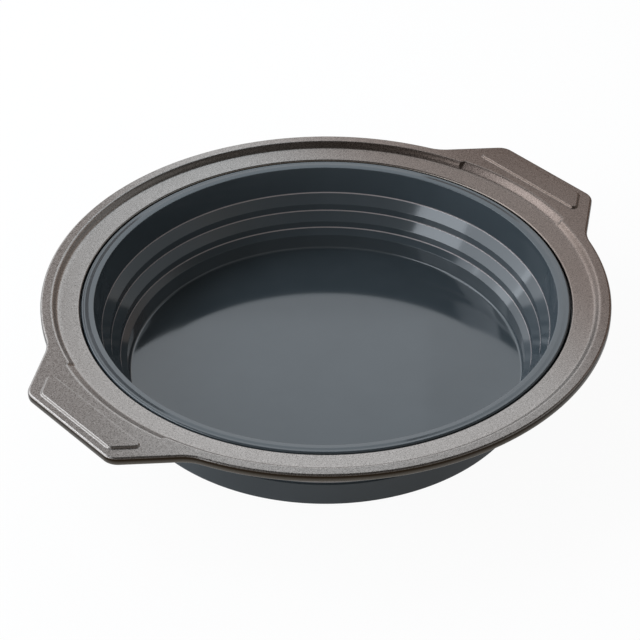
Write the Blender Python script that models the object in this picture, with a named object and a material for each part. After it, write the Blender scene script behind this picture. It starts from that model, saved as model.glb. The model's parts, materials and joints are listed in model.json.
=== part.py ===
# Round collapsible cake pan: a stepped silicone bowl that hangs in a pressed steel ring frame
# with two grips. Metres, +Z up, the grips on the X axis, and the origin on the pan's axis at
# the height of the surface that the foot stands on.
import math

import bmesh
import bpy
from mathutils import Matrix, Vector

CLEARANCE = 0.0003

# Silicone bowl, radii of the inner surface from the mouth down to the floor
MOUTH_RADIUS = 0.1150
UPPER_WALL_DRAFT = 0.0032
UPPER_FOLD_RUN = 0.0039
MIDDLE_FOLD_RUN = 0.0038
LOWER_FOLD_RUN = 0.0032
BAND_DRAFT = 0.0003
BASE_WALL_DRAFT = 0.0005

# Silicone bowl, heights from the foot up to the lip
FOOT_DEPTH = 0.0015
FLOOR_THICKNESS = 0.0025
BASE_WALL_HEIGHT = 0.0084
LOWER_FOLD_DROP = 0.0027
LOWER_BAND_HEIGHT = 0.0038
MIDDLE_FOLD_DROP = 0.0045
UPPER_BAND_HEIGHT = 0.0040
UPPER_FOLD_DROP = 0.0047
UPPER_WALL_HEIGHT = 0.0139

# Silicone bowl, thicknesses
WALL = 0.0020
FOLD_WALL = 0.0011
SHOULDER_STEEPNESS = 1.15
FOOT_WALL = 0.0048
FOOT_WIDTH = 0.0070
FOOT_FILLET = 0.0008
FLOOR_FILLET = 0.0015
EDGE_FILLET = 0.0005

# Silicone lip, which hooks round the collar of the steel frame
LIP_WIDTH = 0.0060
LIP_CROWN = 0.0004
LIP_FILLET = 0.0011
LIP_GAP = 0.0010
GROOVE_CLEARANCE = 0.0005
HOOK_WIDTH = 0.0022
HOOK_FLOOR = 0.0018

# Steel frame, one pressing
SHEET = 0.0008
RIM_RISE = 0.0040
COLLAR_DEPTH = 0.0040
INNER_LAND_WIDTH = 0.0108
INNER_LAND_FALL = 0.0010
STEP_DROP = 0.0027
STEP_RUN = 0.0025
OUTER_LAND_WIDTH = 0.0057
COLLAR_BEND_INSIDE = 0.0002
EDGE_BEND_INSIDE = 0.0012
HEM_CURL_INSIDE = 0.0004
HEM_HEIGHT = 0.0043
HEM_TURN = 0.0028

# Grips of the steel frame
GRIP_LENGTH = 0.0180
GRIP_HALF_WIDTH = 0.0320
GRIP_SIDE_ANGLE = math.radians(52.0)
GRIP_CORNER_RADIUS = 0.0090
GRIP_ROOT_RADIUS = 0.0220
RAMP_RUN = 0.0044
RAMP_SETBACK = 0.0088
NOTCH_WIDTH = 0.0033

# Raised pad on each grip
PAD_HEIGHT = 0.0010
PAD_SETBACK = 0.0010
PAD_OUTER_MARGIN = 0.0040
PAD_SIDE_MARGIN = 0.0069
PAD_DRAFT = 0.0013
PAD_OUTER_FILLET = 0.0050
PAD_INNER_FILLET = 0.0022
PAD_HOLLOW_MARGIN = 0.0002

# Facets; a bend is two chords that meet at the middle of its quarter circle
TURN_STEPS = 64
FILLET_STEPS = 2
GRIP_ARC_STEPS = 4
ARC_MIDDLE = 1.0 - math.sqrt(0.5)

# Finishes, colours linear
STEEL_COLOUR = (0.25, 0.225, 0.205, 1.0)
STEEL_ROUGHNESS = 0.42
STEEL_METALLIC = 0.9
SILICONE_COLOUR = (0.035, 0.043, 0.052, 1.0)
SILICONE_ROUGHNESS = 0.3

# Radii that follow
upper_wall_foot = MOUTH_RADIUS - UPPER_WALL_DRAFT
upper_band_head = upper_wall_foot - UPPER_FOLD_RUN
upper_band_foot = upper_band_head - BAND_DRAFT
lower_band_head = upper_band_foot - MIDDLE_FOLD_RUN
lower_band_foot = lower_band_head - BAND_DRAFT
base_head = lower_band_foot - LOWER_FOLD_RUN
base_foot = base_head - BASE_WALL_DRAFT
collar_radius = MOUTH_RADIUS + LIP_WIDTH + LIP_GAP
step_foot_radius = collar_radius + INNER_LAND_WIDTH
step_head_radius = step_foot_radius + STEP_RUN
ring_radius = step_head_radius + OUTER_LAND_WIDTH
grip_reach = ring_radius + GRIP_LENGTH

# Heights that follow
floor_top = FOOT_DEPTH + FLOOR_THICKNESS
base_top = floor_top + BASE_WALL_HEIGHT
lower_fold_top = base_top + LOWER_FOLD_DROP
lower_band_top = lower_fold_top + LOWER_BAND_HEIGHT
middle_fold_top = lower_band_top + MIDDLE_FOLD_DROP
upper_band_top = middle_fold_top + UPPER_BAND_HEIGHT
upper_fold_top = upper_band_top + UPPER_FOLD_DROP
lip_edge = upper_fold_top + UPPER_WALL_HEIGHT
rim_top = lip_edge + RIM_RISE
step_foot = rim_top - STEP_DROP
inner_land_foot = step_foot - INNER_LAND_FALL
collar_foot = inner_land_foot - COLLAR_DEPTH
hem_foot = rim_top - HEM_HEIGHT


def clear_scene():
    for thing in list(bpy.data.objects):
        bpy.data.objects.remove(thing, do_unlink=True)


def make_material(name, colour, roughness, metallic):
    material = bpy.data.materials.new(name)
    material.use_nodes = True
    shader = material.node_tree.nodes["Principled BSDF"]
    shader.inputs["Base Color"].default_value = colour
    shader.inputs["Roughness"].default_value = roughness
    shader.inputs["Metallic"].default_value = metallic
    return material


def add_body(name, solid, material, origin_height=0.0):
    """Turn a closed bmesh into an object whose origin lies on the pan's axis."""
    bmesh.ops.recalc_face_normals(solid, faces=solid.faces[:])
    mesh = bpy.data.meshes.new(name)
    solid.to_mesh(mesh)
    solid.free()
    mesh.transform(Matrix.Translation((0.0, 0.0, -origin_height)))
    mesh.shade_smooth()
    mesh.set_sharp_from_angle(angle=math.radians(30.0))
    mesh.materials.append(material)
    body = bpy.data.objects.new(name, mesh)
    body.location = (0.0, 0.0, origin_height)
    bpy.context.scene.collection.objects.link(body)
    return body


def filleted(corners):
    """The closed outline through corners (x, y, fillet radius), with each fillet as an arc."""
    outline = []
    for index, (x, y, radius) in enumerate(corners):
        corner = Vector((x, y))
        following = corners[(index + 1) % len(corners)]
        back = Vector(corners[index - 1][:2]) - corner
        ahead = Vector(following[:2]) - corner
        if radius <= 0.0:
            outline.append(corner)
            continue
        half_angle = back.angle(ahead) / 2.0
        tangent = min(radius / math.tan(half_angle), 0.45 * back.length, 0.45 * ahead.length)
        fillet = tangent * math.tan(half_angle)
        bisector = (back.normalized() + ahead.normalized()).normalized()
        centre = corner + bisector * (fillet / math.sin(half_angle))
        start = corner + back.normalized() * tangent - centre
        end = corner + ahead.normalized() * tangent - centre
        first = math.atan2(start.y, start.x)
        turn = math.remainder(math.atan2(end.y, end.x) - first, math.tau)
        for step in range(FILLET_STEPS + 1):
            angle = first + turn * step / FILLET_STEPS
            outline.append(centre + fillet * Vector((math.cos(angle), math.sin(angle))))
    return outline


def close_columns(solid, columns):
    """Skin neighbouring columns of vertices; a vertex on the axis belongs to every column."""
    for index, column in enumerate(columns):
        following = columns[(index + 1) % len(columns)]
        for row in range(len(column)):
            below = (row + 1) % len(column)
            ring = [column[row], column[below], following[below], following[row]]
            corners = list(dict.fromkeys(ring))
            if len(corners) > 2:
                solid.faces.new(corners)


def turned_body(name, corners, material, origin_height=0.0):
    """A body of revolution from a closed section of (radius, height, fillet) corners."""
    section = filleted(corners)
    solid = bmesh.new()
    poles = {}
    columns = []
    for step in range(TURN_STEPS):
        angle = math.tau * step / TURN_STEPS
        column = []
        for row, (radius, height) in enumerate(section):
            if radius == 0.0:
                if row not in poles:
                    poles[row] = solid.verts.new((0.0, 0.0, height))
                column.append(poles[row])
            else:
                place = (radius * math.cos(angle), radius * math.sin(angle), height)
                column.append(solid.verts.new(place))
        columns.append(column)
    close_columns(solid, columns)
    return add_body(name, solid, material, origin_height)


class Fold:
    """A thin sloped web between the foot of one wall and the head of the wall inside it."""

    def __init__(self, outer_radius, outer_height, inner_radius, inner_height):
        self.outer = Vector((outer_radius, outer_height))
        self.inner = Vector((inner_radius, inner_height))
        self.along = (self.inner - self.outer).normalized()
        self.through = Vector((-self.along.y, self.along.x)) * FOLD_WALL
        self.slope = (outer_height - inner_height) / (outer_radius - inner_radius)

    def section(self):
        """The web's own section, short of both walls by the clearance."""
        start = self.outer + self.along * CLEARANCE
        end = self.inner - self.along * CLEARANCE
        corners = [start, end, end + self.through, start + self.through]
        return [(corner.x, corner.y, 0.0) for corner in corners]

    def wall_foot(self):
        """The foot of the wall above, from its inner surface to its outer surface."""
        seat = self.outer + self.through
        return [
            (self.outer.x, self.outer.y, 0.0),
            (seat.x, seat.y, 0.0),
            (self.outer.x + WALL, seat.y, EDGE_FILLET),
        ]

    def wall_head(self):
        """The head of the wall below, from its outer surface to its inner surface. Its
        shoulder is steeper than the web, so that the web can turn over above it."""
        seat = self.inner + self.through
        shoulder = (self.inner.x + WALL - seat.x) * self.slope * SHOULDER_STEEPNESS
        return [
            (self.inner.x + WALL, seat.y - shoulder, EDGE_FILLET),
            (seat.x, seat.y, 0.0),
            (self.inner.x, self.inner.y, 0.0),
        ]


upper_fold = Fold(upper_wall_foot, upper_fold_top, upper_band_head, upper_band_top)
middle_fold = Fold(upper_band_foot, middle_fold_top, lower_band_head, lower_band_top)
lower_fold = Fold(lower_band_foot, lower_fold_top, base_head, base_top)


def silicone_rim_section():
    """The upper wall with its lip, and the hook that grips the frame's collar."""
    lip_radius = MOUTH_RADIUS + LIP_WIDTH
    lip_top = lip_edge + LIP_CROWN
    groove_inner = collar_radius - GROOVE_CLEARANCE
    groove_outer = collar_radius + SHEET + GROOVE_CLEARANCE
    groove_floor = collar_foot - CLEARANCE
    hook_radius = groove_outer + HOOK_WIDTH
    hook_top = inner_land_foot - SHEET - CLEARANCE
    hook_foot = groove_floor - HOOK_FLOOR
    draft_slope = UPPER_WALL_DRAFT / UPPER_WALL_HEIGHT
    shelf_radius = upper_wall_foot + WALL + (hook_foot - upper_fold_top) * draft_slope
    return [
        *upper_fold.wall_foot(),
        (shelf_radius, hook_foot, EDGE_FILLET),
        (hook_radius, hook_foot, LIP_FILLET),
        (hook_radius, hook_top, EDGE_FILLET),
        (groove_outer, hook_top, EDGE_FILLET),
        (groove_outer, groove_floor, 0.0),
        (groove_inner, groove_floor, 0.0),
        (lip_radius, lip_top, LIP_FILLET),
        (MOUTH_RADIUS + LIP_FILLET, lip_top, EDGE_FILLET),
        (MOUTH_RADIUS, lip_edge, 0.0),
    ]


def base_section():
    """The bowl's floor and lowest wall, with a foot ring round a shallow recess."""
    foot_radius = base_foot + FOOT_WALL
    recess_radius = foot_radius - FOOT_WIDTH
    return [
        (0.0, floor_top, 0.0),
        (0.0, FOOT_DEPTH, 0.0),
        (recess_radius - FOOT_DEPTH, FOOT_DEPTH, 0.0),
        (recess_radius, 0.0, 0.0),
        (foot_radius, 0.0, FOOT_FILLET),
        *lower_fold.wall_head(),
        (base_foot, floor_top, FLOOR_FILLET),
    ]


class GripOutline:
    """One quarter of the frame's plan: half a grip on the X axis, and the ring up to Y."""

    def __init__(self):
        self.side = Vector((-math.sin(GRIP_SIDE_ANGLE), math.cos(GRIP_SIDE_ANGLE)))
        self.side_normal = Vector((math.cos(GRIP_SIDE_ANGLE), math.sin(GRIP_SIDE_ANGLE)))
        self.corner = Vector((grip_reach, GRIP_HALF_WIDTH))
        self.corner_tangent = GRIP_CORNER_RADIUS * math.tan(GRIP_SIDE_ANGLE / 2.0)
        lifted = self.corner + self.side_normal * GRIP_ROOT_RADIUS
        reach = ring_radius + GRIP_ROOT_RADIUS
        across = lifted.dot(self.side)
        rest = across * across - lifted.length_squared + reach * reach
        self.root_centre = lifted - self.side * (across + math.sqrt(rest))
        ramp_end = self.corner_tangent + RAMP_SETBACK
        self.notch_points = [
            self.corner + self.side * ramp_end,
            self.corner + self.side * (ramp_end + NOTCH_WIDTH),
        ]
        self.notch_azimuths = [math.atan2(point.y, point.x) for point in self.notch_points]

    def quarter(self):
        """(point, outward normal) pairs from the grip's middle to the ring's far side."""
        out = Vector((1.0, 0.0))
        stations = [(Vector((grip_reach, 0.0)), out)]
        edge_end = GRIP_HALF_WIDTH - self.corner_tangent
        stations.append((Vector((grip_reach, edge_end / 2.0)), out))
        arc_centre = Vector((grip_reach - GRIP_CORNER_RADIUS, edge_end))
        for step in range(GRIP_ARC_STEPS + 1):
            angle = GRIP_SIDE_ANGLE * step / GRIP_ARC_STEPS
            normal = Vector((math.cos(angle), math.sin(angle)))
            stations.append((arc_centre + normal * GRIP_CORNER_RADIUS, normal))
        for point in self.notch_points:
            stations.append((point, self.side_normal))
        root_azimuth = math.atan2(self.root_centre.y, self.root_centre.x)
        for step in range(GRIP_ARC_STEPS + 1):
            angle = GRIP_SIDE_ANGLE + (root_azimuth - GRIP_SIDE_ANGLE) * step / GRIP_ARC_STEPS
            normal = Vector((math.cos(angle), math.sin(angle)))
            stations.append((self.root_centre - normal * GRIP_ROOT_RADIUS, normal))
        steps = round((math.pi / 2.0 - root_azimuth) * TURN_STEPS / math.tau)
        for step in range(1, steps + 1):
            angle = root_azimuth + (math.pi / 2.0 - root_azimuth) * step / steps
            normal = Vector((math.cos(angle), math.sin(angle)))
            stations.append((normal * ring_radius, normal))
        return stations


grip_outline = GripOutline()


def frame_stations():
    """The outline of the whole frame, once round, by mirroring one quarter."""
    quarter = grip_outline.quarter()
    stations = []
    for x_sign, y_sign in ((1, 1), (-1, 1), (-1, -1), (1, -1)):
        flip = Vector((x_sign, y_sign))
        run = quarter if x_sign == y_sign else quarter[::-1]
        for point, normal in run[:-1]:
            stations.append((point * flip, normal * flip))
    return stations


def step_head_at(azimuth):
    """The top radius of the step, which widens to a ramp in front of each grip."""
    from_grip = abs(math.remainder(azimuth, math.pi))
    ramp_end, notch_end = grip_outline.notch_azimuths
    share = (from_grip - ramp_end) / (notch_end - ramp_end)
    share = min(max(share, 0.0), 1.0)
    return step_foot_radius + RAMP_RUN + (STEP_RUN - RAMP_RUN) * share


def frame_column(point, normal):
    """The sheet's section at one station, over the top and back along the underside."""
    azimuth = math.atan2(point.y, point.x)
    spoke = Vector((math.cos(azimuth), math.sin(azimuth)))
    step_head = step_head_at(azimuth)
    collar_bend = SHEET + COLLAR_BEND_INSIDE
    edge_bend = SHEET + EDGE_BEND_INSIDE
    curl = SHEET + HEM_CURL_INSIDE
    collar_cut = collar_bend * ARC_MIDDLE
    edge_cut = edge_bend * ARC_MIDDLE
    curl_cut = curl * ARC_MIDDLE

    def on_spoke(radius, height):
        return (*(spoke * radius), height)

    def from_edge(inset, height):
        return (*(point - normal * inset), height)

    return [
        on_spoke(collar_radius, collar_foot),
        on_spoke(collar_radius, inner_land_foot - collar_bend),
        on_spoke(collar_radius + collar_cut, inner_land_foot - collar_cut),
        on_spoke(collar_radius + collar_bend, inner_land_foot),
        on_spoke(step_foot_radius, step_foot),
        on_spoke(step_head, rim_top),
        from_edge(edge_bend, rim_top),
        from_edge(edge_cut, rim_top - edge_cut),
        from_edge(0.0, rim_top - edge_bend),
        from_edge(0.0, hem_foot + curl),
        from_edge(curl_cut, hem_foot + curl_cut),
        from_edge(curl, hem_foot),
        from_edge(HEM_TURN, hem_foot),
        from_edge(HEM_TURN, hem_foot + SHEET),
        from_edge(curl, hem_foot + SHEET),
        from_edge(SHEET, hem_foot + curl),
        from_edge(SHEET, rim_top - edge_bend),
        from_edge(edge_bend, rim_top - SHEET),
        on_spoke(step_head + SHEET / 2.0, rim_top - SHEET),
        on_spoke(step_foot_radius + SHEET / 2.0, step_foot - SHEET),
        on_spoke(collar_radius + collar_bend, inner_land_foot - SHEET),
        on_spoke(collar_radius + SHEET, inner_land_foot - collar_bend),
        on_spoke(collar_radius + SHEET, collar_foot),
    ]


def pad_outline(inset):
    """The rounded trapezoid of a grip's pad, smaller all round by an inset."""
    inner = ring_radius + PAD_SETBACK + inset
    outer = grip_reach - PAD_OUTER_MARGIN - inset
    margin = (PAD_SIDE_MARGIN + inset) / math.sin(GRIP_SIDE_ANGLE)

    def half_width(reach):
        return GRIP_HALF_WIDTH + (grip_reach - reach) / math.tan(GRIP_SIDE_ANGLE) - margin

    inner_fillet = max(PAD_INNER_FILLET - inset, EDGE_FILLET)
    outer_fillet = max(PAD_OUTER_FILLET - inset, EDGE_FILLET)
    return filleted([
        (inner, -half_width(inner), inner_fillet),
        (outer, -half_width(outer), outer_fillet),
        (outer, half_width(outer), outer_fillet),
        (inner, half_width(inner), inner_fillet),
    ])


def pad_block(name, side, lower_inset, lower_height, upper_inset, upper_height):
    """A lofted block between two pad outlines, on the grip at +X or -X."""
    solid = bmesh.new()
    levels = []
    for inset, height in ((lower_inset, lower_height), (upper_inset, upper_height)):
        outline = pad_outline(inset)
        levels.append([solid.verts.new((side * u, side * t, height)) for u, t in outline])
    lower, upper = levels
    for index in range(len(lower)):
        following = (index + 1) % len(lower)
        solid.faces.new([lower[index], lower[following], upper[following], upper[index]])
    solid.faces.new(lower)
    solid.faces.new(upper)
    bmesh.ops.recalc_face_normals(solid, faces=solid.faces[:])
    mesh = bpy.data.meshes.new(name)
    solid.to_mesh(mesh)
    solid.free()
    block = bpy.data.objects.new(name, mesh)
    block.hide_render = True
    block.display_type = "WIRE"
    bpy.context.scene.collection.objects.link(block)
    return block


def emboss(body, block, operation):
    boolean = body.modifiers.new(block.name, "BOOLEAN")
    boolean.operation = operation
    boolean.object = block


def build_steel_frame(material):
    solid = bmesh.new()
    columns = []
    for point, normal in frame_stations():
        column = [solid.verts.new(place) for place in frame_column(point, normal)]
        columns.append(column)
    close_columns(solid, columns)
    frame = add_body("steel_frame", solid, material)
    pad_root = rim_top - SHEET / 2.0
    pad_top = rim_top + PAD_HEIGHT
    root_inset = -PAD_DRAFT * (rim_top - pad_root) / PAD_HEIGHT
    hollow_inset = PAD_DRAFT + PAD_HOLLOW_MARGIN
    hollow_foot = rim_top - 2.0 * SHEET
    hollow_top = pad_top - SHEET
    for side, word in ((1, "right"), (-1, "left")):
        pad = pad_block(f"{word}_pad", side, root_inset, pad_root, PAD_DRAFT, pad_top)
        emboss(frame, pad, "UNION")
        hollow = pad_block(f"{word}_pad_hollow", side, hollow_inset, hollow_foot,
                           hollow_inset, hollow_top)
        emboss(frame, hollow, "DIFFERENCE")
    return frame


def main():
    clear_scene()
    steel = make_material("coated_steel", STEEL_COLOUR, STEEL_ROUGHNESS, STEEL_METALLIC)

    def silicone(name):
        return make_material(name, SILICONE_COLOUR, SILICONE_ROUGHNESS, 0.0)

    build_steel_frame(steel)
    turned_body("silicone_rim", silicone_rim_section(), silicone("rim_silicone"),
                upper_fold_top)
    turned_body("upper_fold", upper_fold.section(), silicone("upper_fold_silicone"),
                upper_band_top)
    turned_body("upper_band", [*middle_fold.wall_foot(), *upper_fold.wall_head()],
                silicone("upper_band_silicone"), middle_fold_top)
    turned_body("middle_fold", middle_fold.section(), silicone("middle_fold_silicone"),
                lower_band_top)
    turned_body("lower_band", [*lower_fold.wall_foot(), *middle_fold.wall_head()],
                silicone("lower_band_silicone"), lower_fold_top)
    turned_body("lower_fold", lower_fold.section(), silicone("lower_fold_silicone"),
                base_top)
    turned_body("base_cup", base_section(), silicone("base_silicone"))


main()
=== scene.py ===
import json
import math

import bmesh
import bpy
import numpy as np
from mathutils import Matrix, Vector

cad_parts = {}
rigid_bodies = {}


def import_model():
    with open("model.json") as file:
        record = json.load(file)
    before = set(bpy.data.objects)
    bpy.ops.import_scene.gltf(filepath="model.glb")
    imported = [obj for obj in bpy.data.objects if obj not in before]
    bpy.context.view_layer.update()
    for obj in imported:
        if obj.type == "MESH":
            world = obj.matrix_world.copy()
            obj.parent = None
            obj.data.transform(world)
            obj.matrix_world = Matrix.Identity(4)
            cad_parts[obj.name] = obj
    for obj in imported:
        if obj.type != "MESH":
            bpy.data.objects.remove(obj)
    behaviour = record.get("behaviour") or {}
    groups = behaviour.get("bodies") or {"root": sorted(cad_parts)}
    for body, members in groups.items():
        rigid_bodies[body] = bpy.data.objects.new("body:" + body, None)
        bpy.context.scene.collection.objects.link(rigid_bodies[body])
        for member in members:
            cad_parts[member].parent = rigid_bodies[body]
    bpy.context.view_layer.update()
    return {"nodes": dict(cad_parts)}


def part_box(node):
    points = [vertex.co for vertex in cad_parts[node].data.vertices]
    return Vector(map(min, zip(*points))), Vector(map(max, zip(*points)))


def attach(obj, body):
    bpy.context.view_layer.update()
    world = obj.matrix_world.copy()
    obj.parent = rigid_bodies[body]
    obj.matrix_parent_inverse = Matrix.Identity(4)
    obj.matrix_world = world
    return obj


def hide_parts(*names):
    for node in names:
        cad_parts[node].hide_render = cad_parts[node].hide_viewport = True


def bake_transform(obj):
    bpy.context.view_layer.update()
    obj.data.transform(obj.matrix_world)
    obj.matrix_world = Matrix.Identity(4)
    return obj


for thing in list(bpy.data.objects):
    bpy.data.objects.remove(thing, do_unlink=True)

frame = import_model()

# Points that are closer than this are one point
SAME_PLACE = 1e-6

# Air between parts that touch in the real object
CLEARANCE = 0.0003


def section_points(node):
    """The (radius, height) of a node's vertices in the plane y = 0, on the +X side."""
    points = [vertex.co for vertex in frame["nodes"][node].data.vertices]
    return [Vector((p.x, p.z)) for p in points if p.x >= 0.0 and abs(p.y) < SAME_PLACE]


def narrowest(node):
    """The (radius, height) of the point of a node's section that is nearest the axis."""
    return min(section_points(node), key=lambda point: point.x)


def highest(node):
    """The (radius, height) of the top of a node's section."""
    return max(section_points(node), key=lambda point: point.y)


# Places that the frame gives
frame_low, frame_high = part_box("steel_frame")
wall_foot = narrowest("silicone_rim")
upper_band_head = highest("upper_band")
upper_band_foot = narrowest("upper_band")
lower_band_head = highest("lower_band")
lower_band_foot = narrowest("lower_band")
base_head = highest("base_cup")
foot_recess = narrowest("base_cup").y
floor_top = min(point.y for point in section_points("base_cup")
                if point.x < base_head.x and point.y > foot_recess + CLEARANCE)

# Silicone bowl
MOUTH_RADIUS = 0.1150
UPPER_WALL_HEIGHT = 0.0139
BASE_WALL_DRAFT = 0.0005
WALL = 0.0020
FOLD_WALL = 0.0011
SHOULDER_STEEPNESS = 1.15
FOOT_WALL = 0.0048
FOOT_WIDTH = 0.0070
FOOT_FILLET = 0.0008
FLOOR_FILLET = 0.0015
EDGE_FILLET = 0.0005
FOLD_FILLET = 0.0006
NOSE_FILLET = 0.0005
WEB_MARGIN = 0.00005
WEB_TONGUE = 0.0005
WEB_TONGUE_SHARES = (0.3, 0.7)
FLOOR_RING_SHARES = (0.2, 0.4, 0.6, 0.8)
RECESS_RING_SHARES = (0.6, 0.3)

# Silicone lip
LIP_WIDTH = 0.0060
LIP_CROWN = 0.0004
LIP_FILLET = 0.0011
LIP_GAP = 0.0010
MOUTH_FILLET = 0.0003
GROOVE_CLEARANCE = 0.0005
GROOVE_FILLET = 0.0002
HOOK_WIDTH = 0.0022
HOOK_FLOOR = 0.0018

# Corners of the lip's crown: out from the mouth, down from the top, fillet radius
CROWN_CORNERS = (
    (0.0007, 0.0003, 0.0010),
    (0.0026, 0.0001, 0.0030),
    (0.0042, 0.00017, 0.0030),
)

# Steel frame
SHEET = 0.0008
INNER_LAND_WIDTH = 0.0108
INNER_LAND_FALL = 0.0010
STEP_DROP = 0.0027
STEP_RUN = 0.0025
COLLAR_BEND = 0.0010
EDGE_BEND = 0.0012
HEM_CURL = 0.0012
HEM_HEIGHT = 0.0043
HEM_TURN = 0.0028
STEP_FOOT_SOFTNESS = 0.0009
STEP_HEAD_SOFTNESS = 0.0008
CUT_EDGE_FILLET = 0.0002

# Grips
GRIP_HALF_WIDTH = 0.0320
GRIP_SIDE_ANGLE = math.radians(52.0)
GRIP_CORNER_RADIUS = 0.0090
GRIP_ROOT_RADIUS = 0.0220
RAMP_RUN = 0.0044
RAMP_SETBACK = 0.0088
NOTCH_WIDTH = 0.0033

# Raised pads
PAD_HEIGHT = 0.0010
PAD_SETBACK = 0.0010
PAD_OUTER_MARGIN = 0.0040
PAD_SIDE_MARGIN = 0.0069
PAD_DRAFT = 0.0006
PAD_OUTER_FILLET = 0.0050
PAD_INNER_FILLET = 0.0022
PAD_SOFTNESS = 0.00025
PAD_HOLLOW_INSET = 0.0005

# Fineness of the meshes
TURN_STEPS = 288
FILLET_STEPS = 6
FILLET_LIMIT = 0.45
WEB_STEPS = 14
SHARP_ANGLE = math.radians(32.0)
GRIP_SPACING = 0.0004
RING_SPACING = math.radians(0.8)
INNER_LAND_ROWS = 6
STEP_BEND_ROWS = 5
STEP_FACE_ROWS = 3
LAND_ROWS = 100
UNDER_STEP_ROWS = 8
UNDER_LAND_ROWS = 3
BEND_ROWS = 8
UNDER_BEND_ROWS = 5
COLLAR_UNDER_ROWS = 4

# Camera, measured on the 640 x 640 photograph
PHOTO_WIDTH = 640.0
SENSOR_WIDTH = 36.0
CAMERA_FOCAL_PIXELS = 2227.7
CAMERA_ELEVATION = math.radians(37.10)
CAMERA_ROLL = math.radians(0.25)
CAMERA_AZIMUTH = math.radians(-41.4)
CAMERA_DISTANCE = 1.1046
CAMERA_AIM_RIGHT = 0.00285
CAMERA_AIM_DOWN = -0.0157

# Reach of a noise texture's values, and its roughness
NOISE_LOW = 0.3
NOISE_HIGH = 0.7
NOISE_ROUGHNESS = 0.6

# Coating of the steel, linear colours, with a painted shade for one side and a painted
# reflection for the skirt
COATING_DARK = (0.140, 0.128, 0.118)
COATING_LIGHT = (0.335, 0.309, 0.290)
# Painted shade that makes one side of the coating darker and browner
SIDE_SHADE_TINT = (0.58, 0.49, 0.45)
# Painted reflection on the skirt, dark at its head and lighter at its foot
SKIRT_REFLECTION_HEAD = (0.022, 0.015, 0.009)
SKIRT_REFLECTION_FOOT = (0.17, 0.155, 0.135)

# Coating of the steel: where the painted reflection on the skirt and the painted shade on one
# side fade in, and the speckle
SKIRT_REFLECTION_FADE = 0.0030
UPRIGHT_FULL = 0.40
UPRIGHT_NONE = 0.80
SIDE_SHADE_AXIS = (0.80, 0.60, 0.0)
SIDE_SHADE_START = 0.02
SIDE_SHADE_END = 0.115
SPECKLE_SCALE = 1750.0
SPECKLE_DETAIL = 2.0
SPECKLE_STRENGTH = 0.3
SPECKLE_HEIGHT = 0.00005
COATING_SMOOTH = 0.25
COATING_ROUGH = 0.33

# Silicone, linear colours, and the colour of a painted highlight along the folds
SLATE_DARK = (0.037, 0.047, 0.054)
SLATE_LIGHT = (0.043, 0.054, 0.062)
FOLD_HIGHLIGHT = (0.30, 0.27, 0.27)

# Silicone: the reach of the painted highlight along each fold, its clouds and grain, and its
# gloss
HIGHLIGHT_BELOW = 0.0002
HIGHLIGHT_ABOVE = 0.0005
HIGHLIGHT_FADE = 0.0001
CLOUD_SCALE = 30.0
CLOUD_DETAIL = 2.0
GRAIN_SCALE = 900.0
GRAIN_DETAIL = 1.0
GRAIN_STRENGTH = 0.02
GRAIN_HEIGHT = 0.00003
SILICONE_SMOOTH = 0.07
SILICONE_ROUGH = 0.10
SILICONE_IOR = 1.5

# Studio, linear colours, with its sides named as the photograph sees them
STUDIO_ROOM = (0.60, 0.58, 0.56)
STUDIO_RIGHT = (0.58, 0.62, 0.65)
STUDIO_BACK = (0.48, 0.38, 0.33)
STUDIO_CEILING = (0.10, 0.095, 0.09)
LAMP_LIGHT = (0.92, 1.0, 1.09)
BACK_LIGHT = (0.87, 1.00, 1.10)

# Sides of the studio: an axis in the photograph's right, away and up, the closeness to it at
# which the side starts and is full, and its colour
STUDIO_SIDES = (
    ((1.0, 0.0, 0.0), 0.70, 0.90, STUDIO_RIGHT),
    ((0.25, 0.80, 0.55), 0.75, 0.92, STUDIO_BACK),
    ((0.0, 0.0, 1.0), 0.55, 0.78, STUDIO_CEILING),
)

# Lamps close behind the pan: place to the right and up, width, height and power
BACK_LAMP_DISTANCE = 0.456
BACK_LAMPS = {
    "back_softbox": (-0.035, 0.49, 0.23, 0.34, 0.40),
    "low_softbox": (-0.035, 0.22, 0.23, 0.20, 0.19),
    "side_softbox": (0.16, 0.44, 0.16, 0.30, 0.22),
}

# Lamps far to the left: azimuth from the right and elevation in degrees, width, height and power
LEFT_LAMP_DISTANCE = 1.5
LEFT_LAMP_AIM = (0.0, 0.0, 0.03)
LEFT_LAMPS = {
    "left_softbox": (180.0, 23.0, 1.88, 1.42, 21.5),
    "left_key_softbox": (207.0, 34.0, 0.86, 0.48, 3.2),
    "far_left_softbox": (130.0, 24.0, 1.04, 1.35, 5.4),
    "far_key_softbox": (149.0, 52.0, 0.60, 0.46, 3.9),
}

# Studio floor, which glows in the camera's view and in reflections by these shares
FLOOR_SIZE = 8.0
FLOOR_COLOUR = (0.9, 0.9, 0.9)
FLOOR_ROUGHNESS = 0.9
FLOOR_SEEN = 0.95
FLOOR_MIRRORED = 0.50

# Places that follow
ring_radius = frame_high.y
grip_reach = frame_high.x
rim_top = frame_high.z - PAD_HEIGHT
collar_foot = frame_low.z
collar_radius = MOUTH_RADIUS + LIP_WIDTH + LIP_GAP
step_foot_radius = collar_radius + INNER_LAND_WIDTH
step_foot = rim_top - STEP_DROP
inner_land_foot = step_foot - INNER_LAND_FALL
hem_foot = rim_top - HEM_HEIGHT
lip_edge = wall_foot.y + UPPER_WALL_HEIGHT
base_foot = base_head.x - BASE_WALL_DRAFT


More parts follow.
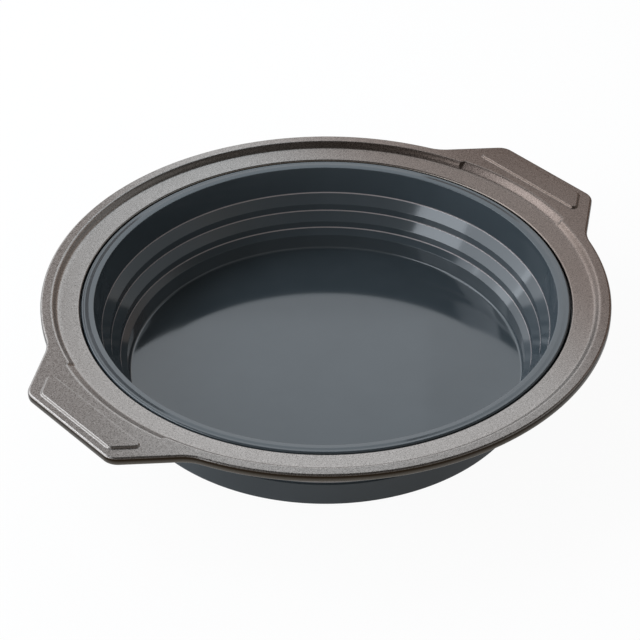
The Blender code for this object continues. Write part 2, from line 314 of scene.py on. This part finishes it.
def filleted(corners):
    """The closed outline through corners (x, y, fillet radius), with each fillet as an arc."""
    outline = []
    for index, (x, y, radius) in enumerate(corners):
        corner = Vector((x, y))
        if radius <= 0.0:
            outline.append(corner)
            continue
        following = corners[(index + 1) % len(corners)]
        back = Vector(corners[index - 1][:2]) - corner
        ahead = Vector(following[:2]) - corner
        half_angle = back.angle(ahead) / 2.0
        longest = FILLET_LIMIT * min(back.length, ahead.length)
        tangent = min(radius / math.tan(half_angle), longest)
        fillet = tangent * math.tan(half_angle)
        bisector = (back.normalized() + ahead.normalized()).normalized()
        centre = corner + bisector * (fillet / math.sin(half_angle))
        start = corner + back.normalized() * tangent - centre
        end = corner + ahead.normalized() * tangent - centre
        first = math.atan2(start.y, start.x)
        turn = math.remainder(math.atan2(end.y, end.x) - first, math.tau)
        for step in range(FILLET_STEPS + 1):
            angle = first + turn * step / FILLET_STEPS
            outline.append(centre + fillet * Vector((math.cos(angle), math.sin(angle))))
    return outline


def add_piece(name, vertices, faces, material):
    """A smooth shaded closed mesh with outward normals and no doubled vertices."""
    mesh = bpy.data.meshes.new(name)
    mesh.from_pydata(vertices, [], faces)
    solid = bmesh.new()
    solid.from_mesh(mesh)
    bmesh.ops.remove_doubles(solid, verts=solid.verts[:], dist=SAME_PLACE)
    bmesh.ops.recalc_face_normals(solid, faces=solid.faces[:])
    solid.to_mesh(mesh)
    solid.free()
    mesh.shade_smooth()
    mesh.set_sharp_from_angle(angle=SHARP_ANGLE)
    mesh.materials.append(material)
    piece = bpy.data.objects.new(name, mesh)
    bpy.context.scene.collection.objects.link(piece)
    return piece


def skin(columns, rows):
    """Quads between neighbouring columns of a grid that is closed both ways."""
    faces = []
    for column in range(columns):
        here = column * rows
        there = (column + 1) % columns * rows
        for row in range(rows):
            below = (row + 1) % rows
            faces.append((here + row, here + below, there + below, there + row))
    return faces


def turned(name, outline, material):
    """A body of revolution from a closed outline of (radius, height) points."""
    section = np.array([(point[0], point[1]) for point in outline])
    angles = np.arange(TURN_STEPS) * math.tau / TURN_STEPS
    x = np.outer(np.cos(angles), section[:, 0])
    y = np.outer(np.sin(angles), section[:, 0])
    z = np.broadcast_to(section[:, 1], x.shape)
    vertices = np.stack([x, y, z], -1).reshape(-1, 3)
    return add_piece(name, vertices.tolist(), skin(TURN_STEPS, len(section)), material)


def divided(start, end, steps):
    """Points from start to end, both included."""
    return [start + (end - start) * step / steps for step in range(steps + 1)]


class Fold:
    """A thin sloped web between the foot of one wall and the head of the wall inside it."""

    def __init__(self, outer, inner):
        self.outer = outer
        self.inner = inner
        self.along = (inner - outer).normalized()
        self.through = Vector((-self.along.y, self.along.x)) * FOLD_WALL
        self.slope = (outer.y - inner.y) / (outer.x - inner.x)
        turn = math.atan2(outer.x - inner.x, outer.y - inner.y) / 2.0
        self.foot_end = outer + self.along * (FOLD_FILLET * math.tan(turn) + WEB_MARGIN)
        self.head_end = inner - self.along * (NOSE_FILLET * math.tan(turn) + WEB_MARGIN)

    def wall_foot(self):
        """The foot of the wall above, from its outer surface to its inner surface."""
        seat = self.outer + self.through
        end = self.foot_end + self.through
        return [
            (self.outer.x + WALL, seat.y, EDGE_FILLET),
            (seat.x, seat.y, 0.0),
            (end.x, end.y, 0.0),
            (self.foot_end.x, self.foot_end.y, 0.0),
            (self.outer.x, self.outer.y, FOLD_FILLET),
        ]

    def wall_head(self):
        """The head of the wall below, from its inner surface to its outer surface."""
        seat = self.inner + self.through
        end = self.head_end + self.through
        shoulder = (self.inner.x + WALL - seat.x) * self.slope * SHOULDER_STEEPNESS
        return [
            (self.inner.x, self.inner.y, NOSE_FILLET),
            (self.head_end.x, self.head_end.y, 0.0),
            (end.x, end.y, 0.0),
            (seat.x, seat.y, 0.0),
            (self.inner.x + WALL, seat.y - shoulder, EDGE_FILLET),
        ]

    def web(self):
        """The web itself, with a tongue at each end that lies inside the wall it meets."""
        out = self.foot_end - self.along * WEB_TONGUE
        into = self.head_end + self.along * WEB_TONGUE
        outline = divided(self.foot_end, self.head_end, WEB_STEPS)
        outline += [into + self.through * share for share in WEB_TONGUE_SHARES]
        outline += divided(self.head_end + self.through, self.foot_end + self.through, WEB_STEPS)
        outline += [out + self.through * share for share in reversed(WEB_TONGUE_SHARES)]
        return outline


upper_fold = Fold(wall_foot, upper_band_head)
middle_fold = Fold(upper_band_foot, lower_band_head)
lower_fold = Fold(lower_band_foot, base_head)


def build_rim(material):
    """The upper wall with its lip, and the hook that grips the frame's collar."""
    lip_radius = MOUTH_RADIUS + LIP_WIDTH
    lip_top = lip_edge + LIP_CROWN
    groove_inner = collar_radius - GROOVE_CLEARANCE
    groove_outer = collar_radius + SHEET + GROOVE_CLEARANCE
    groove_floor = collar_foot - CLEARANCE
    hook_radius = groove_outer + HOOK_WIDTH
    hook_top = inner_land_foot - SHEET - CLEARANCE
    hook_foot = groove_floor - HOOK_FLOOR
    draft_slope = (MOUTH_RADIUS - wall_foot.x) / UPPER_WALL_HEIGHT
    shelf_radius = wall_foot.x + WALL + (hook_foot - wall_foot.y) * draft_slope
    crown = [(MOUTH_RADIUS + out, lip_top - drop, fillet) for out, drop, fillet in CROWN_CORNERS]
    outline = filleted([
        *upper_fold.wall_foot(),
        (MOUTH_RADIUS, lip_edge, MOUTH_FILLET),
        *crown,
        (lip_radius, lip_top, LIP_FILLET),
        (groove_inner, groove_floor, GROOVE_FILLET),
        (groove_outer, groove_floor, GROOVE_FILLET),
        (groove_outer, hook_top, EDGE_FILLET),
        (hook_radius, hook_top, EDGE_FILLET),
        (hook_radius, hook_foot, LIP_FILLET),
        (shelf_radius, hook_foot, EDGE_FILLET),
    ])
    piece = turned("rim_moulding", outline, material)
    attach(piece, "rim")
    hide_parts("silicone_rim")
    return piece


def build_band(name, node, body, above, below, material):
    """A short stiff wall between two folds."""
    outline = filleted([*above.wall_head(), *below.wall_foot()])
    piece = turned(name, outline, material)
    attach(piece, body)
    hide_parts(node)
    return piece


def build_web(name, node, fold, material):
    """A thin web that turns over when the pan is pressed flat."""
    piece = turned(name, fold.web(), material)
    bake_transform(piece)
    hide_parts(node)
    return piece


def build_base(material):
    """The floor and lowest wall, with a foot ring round a shallow recess."""
    foot_radius = base_foot + FOOT_WALL
    recess_radius = foot_radius - FOOT_WIDTH
    corners = [(0.0, floor_top, 0.0)]
    corners += [(base_foot * share, floor_top, 0.0) for share in FLOOR_RING_SHARES]
    corners += [
        (base_foot, floor_top, FLOOR_FILLET),
        *lower_fold.wall_head(),
        (foot_radius, 0.0, FOOT_FILLET),
        (recess_radius, 0.0, EDGE_FILLET),
        (recess_radius - foot_recess, foot_recess, EDGE_FILLET),
    ]
    corners += [(recess_radius * share, foot_recess, 0.0) for share in RECESS_RING_SHARES]
    corners.append((0.0, foot_recess, 0.0))
    piece = turned("base_moulding", filleted(corners), material)
    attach(piece, "base")
    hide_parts("base_cup")
    return piece


class GripOutline:
    """One quarter of the frame's plan: half a grip on the X axis, and the ring up to Y."""

    def __init__(self):
        self.side = Vector((-math.sin(GRIP_SIDE_ANGLE), math.cos(GRIP_SIDE_ANGLE)))
        self.side_normal = Vector((math.cos(GRIP_SIDE_ANGLE), math.sin(GRIP_SIDE_ANGLE)))
        self.corner = Vector((grip_reach, GRIP_HALF_WIDTH))
        self.corner_tangent = GRIP_CORNER_RADIUS * math.tan(GRIP_SIDE_ANGLE / 2.0)
        lifted = self.corner + self.side_normal * GRIP_ROOT_RADIUS
        reach = ring_radius + GRIP_ROOT_RADIUS
        across = lifted.dot(self.side)
        rest = across * across - lifted.length_squared + reach * reach
        self.root_centre = lifted - self.side * (across + math.sqrt(rest))
        ramp_end = self.corner_tangent + RAMP_SETBACK
        notch_points = [
            self.corner + self.side * ramp_end,
            self.corner + self.side * (ramp_end + NOTCH_WIDTH),
        ]
        self.notch_azimuths = [math.atan2(point.y, point.x) for point in notch_points]

    def quarter(self):
        """(point, outward normal) pairs from the grip's middle to the ring's far side."""
        out = Vector((1.0, 0.0))
        edge_end = GRIP_HALF_WIDTH - self.corner_tangent
        stations = []

        def add_line(start, end, normal):
            steps = math.ceil((end - start).length / GRIP_SPACING)
            stations.extend((point, normal) for point in divided(start, end, steps)[:-1])

        def add_arc(centre, radius, first, last, spacing):
            steps = math.ceil(abs(last - first) / spacing)
            for step in range(steps):
                angle = first + (last - first) * step / steps
                normal = Vector((math.cos(angle), math.sin(angle)))
                stations.append((centre + normal * radius, normal))

        add_line(Vector((grip_reach, 0.0)), Vector((grip_reach, edge_end)), out)
        arc_centre = Vector((grip_reach - GRIP_CORNER_RADIUS, edge_end))
        add_arc(arc_centre, GRIP_CORNER_RADIUS, 0.0, GRIP_SIDE_ANGLE,
                GRIP_SPACING / GRIP_CORNER_RADIUS)
        side_start = arc_centre + self.side_normal * GRIP_CORNER_RADIUS
        side_end = self.root_centre - self.side_normal * GRIP_ROOT_RADIUS
        add_line(side_start, side_end, self.side_normal)
        root_azimuth = math.atan2(self.root_centre.y, self.root_centre.x)
        add_arc(self.root_centre, -GRIP_ROOT_RADIUS, GRIP_SIDE_ANGLE, root_azimuth,
                GRIP_SPACING / GRIP_ROOT_RADIUS)
        add_arc(Vector((0.0, 0.0)), ring_radius, root_azimuth, math.pi / 2.0, RING_SPACING)
        stations.append((Vector((0.0, ring_radius)), Vector((0.0, 1.0))))
        return stations


grip_outline = GripOutline()


def frame_stations():
    """Points and outward normals of the whole outline, by mirroring one quarter."""
    quarter = grip_outline.quarter()
    stations = []
    for x_sign, y_sign in ((1, 1), (-1, 1), (-1, -1), (1, -1)):
        flip = Vector((x_sign, y_sign))
        run = quarter if x_sign == y_sign else quarter[::-1]
        for point, normal in run[:-1]:
            stations.append((*(point * flip), *(normal * flip)))
    table = np.array(stations)
    return table[:, :2], table[:, 2:]


def soft_bend(distance, softness):
    """Zero before a bend and the distance after it, with a parabola between the two."""
    near = np.clip(distance + softness, 0.0, 2.0 * softness)
    return near * near / (4.0 * softness) + np.maximum(distance - softness, 0.0)


def smooth_share(value, start, end):
    """A share that grows smoothly from 0 at the start to 1 at the end."""
    share = np.clip((value - start) / (end - start), 0.0, 1.0)
    return share * share * (3.0 - 2.0 * share)


def pad_inside_distance(places):
    """How far a place lies inside the rounded trapezoid of a grip's pad."""
    along = np.abs(places[..., 0])
    across = np.abs(places[..., 1])
    inner = ring_radius + PAD_SETBACK
    outer = grip_reach - PAD_OUTER_MARGIN
    side_normal = grip_outline.side_normal
    side_reach = grip_outline.corner.dot(side_normal) - PAD_SIDE_MARGIN
    inside = np.minimum(along - inner, outer - along)
    inside = np.minimum(inside, side_reach - (along * side_normal.x + across * side_normal.y))
    for edge, edge_sign, fillet in ((outer, 1.0, PAD_OUTER_FILLET),
                                    (inner, -1.0, PAD_INNER_FILLET)):
        centre_along = edge - edge_sign * fillet
        centre_across = (side_reach - fillet - centre_along * side_normal.x) / side_normal.y
        off_along = along - centre_along
        off_across = across - centre_across
        past_side = off_across / side_normal.y
        past_edge = edge_sign * (off_along - past_side * side_normal.x)
        corner = (past_side > 0.0) & (past_edge > 0.0)
        inside = np.where(corner, fillet - np.hypot(off_along, off_across), inside)
    return inside


def pad_rise(places, inset):
    """The height of the raised pads over the outer land."""
    inside = pad_inside_distance(places) - inset
    rise = soft_bend(inside, PAD_SOFTNESS) - soft_bend(inside - PAD_DRAFT, PAD_SOFTNESS)
    return rise * PAD_HEIGHT / PAD_DRAFT


def quarter_turn(steps):
    """Angles from zero to a right angle, both included."""
    return [math.pi / 2.0 * step / steps for step in range(steps + 1)]


def frame_rows(points, normals):
    """The sheet's rows of vertices at all stations, over the top and back underneath."""
    azimuths = np.arctan2(points[:, 1], points[:, 0])
    spokes = np.stack([np.cos(azimuths), np.sin(azimuths)], -1)
    from_grip = np.abs(azimuths - np.round(azimuths / math.pi) * math.pi)
    ramp_end, notch_end = grip_outline.notch_azimuths
    ring_share = smooth_share(from_grip, ramp_end, notch_end)
    step_run = RAMP_RUN + (STEP_RUN - RAMP_RUN) * ring_share
    step_head = step_foot_radius + step_run
    inner_slope = INNER_LAND_FALL / INNER_LAND_WIDTH
    step_slope = STEP_DROP / step_run
    collar_top = inner_land_foot + inner_slope * COLLAR_BEND
    rows = []

    def land_height(radius, lift=0.0, shift=0.0):
        height = inner_land_foot + lift + inner_slope * (radius - collar_radius)
        height = height + (step_slope - inner_slope) * soft_bend(
            radius - step_foot_radius - shift, STEP_FOOT_SOFTNESS)
        return height - step_slope * soft_bend(
            radius - step_head - shift, STEP_HEAD_SOFTNESS)

    def on_spoke(radius, height):
        radius = np.broadcast_to(radius, azimuths.shape)
        height = np.broadcast_to(height, azimuths.shape)
        rows.append(np.stack([spokes[:, 0] * radius, spokes[:, 1] * radius, height], -1))

    def from_edge(inset, height):
        place = points - normals * inset
        rows.append(np.column_stack([place, np.full(len(points), height)]))

    def add_land(start, end, steps, first=1, lift=0.0, shift=0.0):
        for step in range(first, steps + 1):
            radius = start + (end - start) * step / steps
            on_spoke(radius, land_height(radius, lift, shift))

    def add_pads(end, height, inset):
        start = rows[-1][:, :2]
        for step in range(1, LAND_ROWS):
            place = start + (end - start) * step / LAND_ROWS
            rows.append(np.column_stack([place, height + pad_rise(place, inset)]))

    # Collar and the bend at its top
    on_spoke(collar_radius + CUT_EDGE_FILLET, collar_foot)
    on_spoke(collar_radius, collar_foot + CUT_EDGE_FILLET)
    for angle in quarter_turn(BEND_ROWS):
        on_spoke(collar_radius + COLLAR_BEND * (1.0 - math.cos(angle)),
                 collar_top - COLLAR_BEND * (1.0 - math.sin(angle)))

    # Inner land, step and the start of the outer land
    land_start = collar_radius + COLLAR_BEND
    foot_start = step_foot_radius - STEP_FOOT_SOFTNESS
    foot_end = step_foot_radius + STEP_FOOT_SOFTNESS
    head_start = step_head - STEP_HEAD_SOFTNESS
    head_end = step_head + STEP_HEAD_SOFTNESS
    add_land(land_start, foot_start, INNER_LAND_ROWS)
    add_land(foot_start, foot_end, STEP_BEND_ROWS)
    add_land(foot_end, head_start, STEP_FACE_ROWS)
    add_land(head_start, head_end, STEP_BEND_ROWS)

    # Outer land with the pads
    add_pads(points - normals * EDGE_BEND, rim_top, 0.0)

    # Outer bend, skirt and hem
    for angle in quarter_turn(BEND_ROWS):
        from_edge(EDGE_BEND * (1.0 - math.sin(angle)),
                  rim_top - EDGE_BEND * (1.0 - math.cos(angle)))
    for angle in quarter_turn(BEND_ROWS):
        from_edge(HEM_CURL * (1.0 - math.cos(angle)),
                  hem_foot + HEM_CURL * (1.0 - math.sin(angle)))
    from_edge(HEM_TURN - CUT_EDGE_FILLET, hem_foot)
    from_edge(HEM_TURN, hem_foot + CUT_EDGE_FILLET)
    from_edge(HEM_TURN, hem_foot + SHEET - CUT_EDGE_FILLET)
    from_edge(HEM_TURN - CUT_EDGE_FILLET, hem_foot + SHEET)
    for angle in quarter_turn(UNDER_BEND_ROWS)[::-1]:
        from_edge(HEM_CURL - (HEM_CURL - SHEET) * math.cos(angle),
                  hem_foot + HEM_CURL - (HEM_CURL - SHEET) * math.sin(angle))
    for angle in quarter_turn(UNDER_BEND_ROWS)[::-1]:
        from_edge(EDGE_BEND - (EDGE_BEND - SHEET) * math.sin(angle),
                  rim_top - EDGE_BEND + (EDGE_BEND - SHEET) * math.cos(angle))

    # Underside of the outer land, the step and the inner land
    shift = SHEET / 2.0
    under_head = head_end + shift
    under_foot = foot_start + shift
    add_pads(spokes * under_head[:, None], rim_top - SHEET, PAD_HOLLOW_INSET)
    add_land(under_head, under_foot, UNDER_STEP_ROWS, first=0, lift=-SHEET, shift=shift)
    add_land(under_foot, land_start, UNDER_LAND_ROWS, lift=-SHEET, shift=shift)
    inside_bend = COLLAR_BEND - SHEET
    for angle in quarter_turn(COLLAR_UNDER_ROWS)[::-1]:
        on_spoke(collar_radius + COLLAR_BEND - inside_bend * math.cos(angle),
                 collar_top - COLLAR_BEND + inside_bend * math.sin(angle))
    on_spoke(collar_radius + SHEET, collar_foot + CUT_EDGE_FILLET)
    on_spoke(collar_radius + SHEET - CUT_EDGE_FILLET, collar_foot)
    return rows


def build_steel(material):
    """The pressed ring frame with both grips, as one closed sheet."""
    points, normals = frame_stations()
    rows = frame_rows(points, normals)
    vertices = np.stack(rows, 1).reshape(-1, 3)
    piece = add_piece("steel_pressing", vertices.tolist(), skin(len(points), len(rows)),
                      material)
    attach(piece, "rim")
    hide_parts("steel_frame")
    return piece


def node_tree_of(name):
    """A new material, its nodes and links, and its Principled shader."""
    material = bpy.data.materials.new(name)
    material.use_nodes = True
    tree = material.node_tree
    return material, tree.nodes, tree.links, tree.nodes["Principled BSDF"]


def noise(nodes, links, scale, detail, coordinates):
    """A noise texture's value, with its scale in forms per metre."""
    texture = nodes.new("ShaderNodeTexNoise")
    texture.inputs["Scale"].default_value = scale
    texture.inputs["Detail"].default_value = detail
    texture.inputs["Roughness"].default_value = NOISE_ROUGHNESS
    links.new(coordinates, texture.inputs["Vector"])
    return texture.outputs["Fac"]


def spread(nodes, links, value, low, high, from_low=NOISE_LOW, from_high=NOISE_HIGH):
    """A value carried from one range to another, and held at both ends."""
    mapping = nodes.new("ShaderNodeMapRange")
    mapping.inputs["From Min"].default_value = from_low
    mapping.inputs["From Max"].default_value = from_high
    mapping.inputs["To Min"].default_value = low
    mapping.inputs["To Max"].default_value = high
    links.new(value, mapping.inputs["Value"])
    return mapping.outputs["Result"]


def colour_between(nodes, links, value, low, high):
    """A colour that goes from low to high over the reach of a noise texture."""
    ramp = nodes.new("ShaderNodeValToRGB")
    ramp.color_ramp.elements[0].position = NOISE_LOW
    ramp.color_ramp.elements[0].color = (*low, 1.0)
    ramp.color_ramp.elements[1].position = NOISE_HIGH
    ramp.color_ramp.elements[1].color = (*high, 1.0)
    links.new(value, ramp.inputs["Fac"])
    return ramp.outputs["Color"]


def mixed_colour(nodes, links, share, first, second, blend="MIX"):
    """A mix of two colours, each a plain colour or the output of a node."""
    mix = nodes.new("ShaderNodeMix")
    mix.data_type = "RGBA"
    mix.blend_type = blend
    links.new(share, mix.inputs["Factor"])
    for socket, colour in ((mix.inputs["A"], first), (mix.inputs["B"], second)):
        if isinstance(colour, tuple):
            socket.default_value = (*colour, 1.0)
        else:
            links.new(colour, socket)
    return mix.outputs["Result"]


def bump(nodes, links, height, strength, distance):
    """A normal that is tilted by a height texture."""
    node = nodes.new("ShaderNodeBump")
    node.inputs["Strength"].default_value = strength
    node.inputs["Distance"].default_value = distance
    links.new(height, node.inputs["Height"])
    return node.outputs["Normal"]


def image_to_pan(direction):
    """Turns a direction given as right, away, up in the photograph into the pan's frame."""
    return Matrix.Rotation(CAMERA_AZIMUTH, 3, "Z") @ Vector(direction)


def toward(nodes, links, direction, axis, start, end):
    """A share that grows from 0 to 1 as a direction turns towards an axis."""
    facing = nodes.new("ShaderNodeVectorMath")
    facing.operation = "DOT_PRODUCT"
    facing.inputs[1].default_value = image_to_pan(axis)
    links.new(direction, facing.inputs[0])
    growth = nodes.new("ShaderNodeMapRange")
    growth.interpolation_type = "SMOOTHSTEP"
    growth.inputs["From Min"].default_value = start
    growth.inputs["From Max"].default_value = end
    links.new(facing.outputs["Value"], growth.inputs["Value"])
    return growth.outputs["Result"]


def upward_part(nodes, links, vector):
    """The Z part of a vector."""
    parts = nodes.new("ShaderNodeSeparateXYZ")
    links.new(vector, parts.inputs["Vector"])
    return parts.outputs["Z"]


def upright_reflection_share(nodes, links):
    """One where the sheet stands upright, as on the skirt, and zero where it lies flat; it
    places the painted reflection.
    """
    normal = nodes.new("ShaderNodeNewGeometry").outputs["Normal"]
    return spread(nodes, links, upward_part(nodes, links, normal), 1.0, 0.0,
                  UPRIGHT_FULL, UPRIGHT_NONE)


def steel_material():
    """A baked coating: a warm grey with a fine speckle, with painted shade that makes one side
    darker and browner, and a painted reflection on the skirt.
    """
    material, nodes, links, shader = node_tree_of("coated_steel_finish")
    place = nodes.new("ShaderNodeTexCoord").outputs["Object"]
    speckle = noise(nodes, links, SPECKLE_SCALE, SPECKLE_DETAIL, place)
    coating = colour_between(nodes, links, speckle, COATING_DARK, COATING_LIGHT)
    # Painted shade: the side towards the studio's right and back is made darker and browner
    side_shade = toward(nodes, links, place, SIDE_SHADE_AXIS, SIDE_SHADE_START, SIDE_SHADE_END)
    side_shaded_coating = mixed_colour(nodes, links, side_shade, coating, SIDE_SHADE_TINT, "MULTIPLY")
    # Painted reflection: upright faces such as the skirt take a dark brown, lighter towards the
    # hem's foot
    reflection_foot_share = spread(nodes, links, upward_part(nodes, links, place), 1.0, 0.0,
                        hem_foot, hem_foot + SKIRT_REFLECTION_FADE)
    skirt_reflection = mixed_colour(nodes, links, reflection_foot_share, SKIRT_REFLECTION_HEAD, SKIRT_REFLECTION_FOOT)
    colour = mixed_colour(nodes, links, upright_reflection_share(nodes, links), side_shaded_coating, skirt_reflection)
    roughness = spread(nodes, links, speckle, COATING_SMOOTH, COATING_ROUGH)
    normal = bump(nodes, links, speckle, SPECKLE_STRENGTH, SPECKLE_HEIGHT)
    links.new(colour, shader.inputs["Base Color"])
    links.new(roughness, shader.inputs["Roughness"])
    links.new(normal, shader.inputs["Normal"])
    shader.inputs["Metallic"].default_value = 1.0
    return material


def fold_highlight_share(nodes, links, height, foot):
    """One on the fine painted highlight line along the foot of a wall, over a fold, and zero
    elsewhere.
    """
    start = foot - HIGHLIGHT_BELOW
    end = foot + HIGHLIGHT_ABOVE
    above = spread(nodes, links, height, 0.0, 1.0, start, start + HIGHLIGHT_FADE)
    below = spread(nodes, links, height, 1.0, 0.0, end - HIGHLIGHT_FADE, end)
    both = nodes.new("ShaderNodeMath")
    both.operation = "MULTIPLY"
    links.new(above, both.inputs[0])
    links.new(below, both.inputs[1])
    return both.outputs[0]


def silicone_material():
    """Smooth slate silicone with a satin gloss and a painted highlight line along each fold."""
    material, nodes, links, shader = node_tree_of("silicone_finish")
    place = nodes.new("ShaderNodeTexCoord").outputs["Object"]
    clouds = noise(nodes, links, CLOUD_SCALE, CLOUD_DETAIL, place)
    grain = noise(nodes, links, GRAIN_SCALE, GRAIN_DETAIL, place)
    colour = colour_between(nodes, links, clouds, SLATE_DARK, SLATE_LIGHT)
    height = upward_part(nodes, links, place)
    # Painted highlight: a fine pale line at the foot of each wall, where its fold starts
    for fold in (upper_fold, middle_fold, lower_fold):
        highlight = fold_highlight_share(nodes, links, height, fold.outer.y)
        colour = mixed_colour(nodes, links, highlight, colour, FOLD_HIGHLIGHT)
    roughness = spread(nodes, links, clouds, SILICONE_SMOOTH, SILICONE_ROUGH)
    normal = bump(nodes, links, grain, GRAIN_STRENGTH, GRAIN_HEIGHT)
    links.new(colour, shader.inputs["Base Color"])
    links.new(roughness, shader.inputs["Roughness"])
    links.new(normal, shader.inputs["Normal"])
    shader.inputs["IOR"].default_value = SILICONE_IOR
    return material


def build_floor():
    """A pale floor that the camera sees as white, with the pan's shadow on it."""
    bpy.ops.mesh.primitive_plane_add(size=FLOOR_SIZE, location=(0.0, 0.0, 0.0))
    floor = bpy.context.object
    floor.name = "studio_floor"
    material, nodes, links, shader = node_tree_of("floor_finish")
    shader.inputs["Base Color"].default_value = (*FLOOR_COLOUR, 1.0)
    shader.inputs["Roughness"].default_value = FLOOR_ROUGHNESS
    glow = nodes.new("ShaderNodeEmission")
    glow.inputs["Color"].default_value = (1.0, 1.0, 1.0, 1.0)
    glow.inputs["Strength"].default_value = 1.0
    path = nodes.new("ShaderNodeLightPath")
    seen = nodes.new("ShaderNodeMath")
    seen.operation = "MULTIPLY"
    seen.inputs[1].default_value = FLOOR_SEEN
    links.new(path.outputs["Is Camera Ray"], seen.inputs[0])
    share = nodes.new("ShaderNodeMath")
    share.operation = "MULTIPLY_ADD"
    share.inputs[1].default_value = FLOOR_MIRRORED
    links.new(path.outputs["Is Glossy Ray"], share.inputs[0])
    links.new(seen.outputs[0], share.inputs[2])
    mix = nodes.new("ShaderNodeMixShader")
    links.new(share.outputs[0], mix.inputs["Fac"])
    links.new(shader.outputs["BSDF"], mix.inputs[1])
    links.new(glow.outputs["Emission"], mix.inputs[2])
    links.new(mix.outputs["Shader"], nodes["Material Output"].inputs["Surface"])
    floor.data.materials.append(material)


def build_world():
    """A pale room with a dark ceiling, cooler on the right and warmer behind the pan."""
    world = bpy.data.worlds.new("studio")
    bpy.context.scene.world = world
    world.use_nodes = True
    nodes = world.node_tree.nodes
    links = world.node_tree.links
    direction = nodes.new("ShaderNodeTexCoord").outputs["Generated"]
    colour = STUDIO_ROOM
    for axis, start, end, side_colour in STUDIO_SIDES:
        share = toward(nodes, links, direction, axis, start, end)
        colour = mixed_colour(nodes, links, share, colour, side_colour)
    links.new(colour, nodes["Background"].inputs["Color"])
    nodes["Background"].inputs["Strength"].default_value = 1.0


def add_softbox(name, place, aim, width, height, power, colour):
    """A rectangular lamp, placed and aimed in the photograph's right, away and up."""
    lamp = bpy.data.lights.new(name, "AREA")
    lamp.shape = "RECTANGLE"
    lamp.size = width
    lamp.size_y = height
    lamp.energy = power
    lamp.color = colour
    box = bpy.data.objects.new(name, lamp)
    box.location = image_to_pan(place)
    facing = image_to_pan(place) - image_to_pan(aim)
    box.rotation_euler = facing.to_track_quat("Z", "Y").to_euler()
    box.visible_camera = False
    bpy.context.scene.collection.objects.link(box)


def from_angles(azimuth, elevation, distance):
    """A place given by its azimuth from the photograph's right, elevation and distance."""
    azimuth = math.radians(azimuth)
    elevation = math.radians(elevation)
    return Vector((math.cos(elevation) * math.cos(azimuth),
                   math.cos(elevation) * math.sin(azimuth),
                   math.sin(elevation))) * distance


def build_lamps():
    """Three lamps close behind the pan, and four large ones at its left."""
    for name, (right, up, width, height, power) in BACK_LAMPS.items():
        place = (right, BACK_LAMP_DISTANCE, up)
        add_softbox(name, place, (right, 0.0, up), width, height, power, BACK_LIGHT)
    for name, (azimuth, elevation, width, height, power) in LEFT_LAMPS.items():
        place = from_angles(azimuth, elevation, LEFT_LAMP_DISTANCE)
        add_softbox(name, place, LEFT_LAMP_AIM, width, height, power, LAMP_LIGHT)


def build_camera():
    """The photograph's view: an aim on the rim's plane, turned round the pan."""
    right = Vector((1.0, 0.0, 0.0))
    ahead = Vector((0.0, math.cos(CAMERA_ELEVATION), -math.sin(CAMERA_ELEVATION)))
    down = ahead.cross(right)
    tilted_right = right * math.cos(CAMERA_ROLL) + down * math.sin(CAMERA_ROLL)
    tilted_down = down * math.cos(CAMERA_ROLL) - right * math.sin(CAMERA_ROLL)
    place = -(tilted_right * CAMERA_AIM_RIGHT + tilted_down * CAMERA_AIM_DOWN
              + ahead * CAMERA_DISTANCE)
    axes = Matrix((tilted_right, -tilted_down, -ahead)).transposed()
    turn = Matrix.Rotation(CAMERA_AZIMUTH, 3, "Z")
    data = bpy.data.cameras.new("photo_camera")
    data.sensor_width = SENSOR_WIDTH
    data.lens = SENSOR_WIDTH * CAMERA_FOCAL_PIXELS / PHOTO_WIDTH
    camera = bpy.data.objects.new("photo_camera", data)
    camera.matrix_world = (Matrix.Translation(turn @ place + Vector((0.0, 0.0, rim_top)))
                           @ (turn @ axes).to_4x4())
    bpy.context.scene.collection.objects.link(camera)
    bpy.context.scene.camera = camera


def main():
    bpy.context.scene.view_settings.view_transform = "Standard"
    steel = steel_material()
    silicone = silicone_material()
    build_steel(steel)
    pieces = [
        build_rim(silicone),
        build_band("upper_band_ring", "upper_band", "upper_band", upper_fold, middle_fold,
                   silicone),
        build_band("lower_band_ring", "lower_band", "lower_band", middle_fold, lower_fold,
                   silicone),
        build_base(silicone),
        build_web("upper_fold_web", "upper_fold", upper_fold, silicone),
        build_web("middle_fold_web", "middle_fold", middle_fold,
                  silicone),
        build_web("lower_fold_web", "lower_fold", lower_fold, silicone),
    ]
    build_floor()
    build_world()
    build_lamps()
    build_camera()


main()
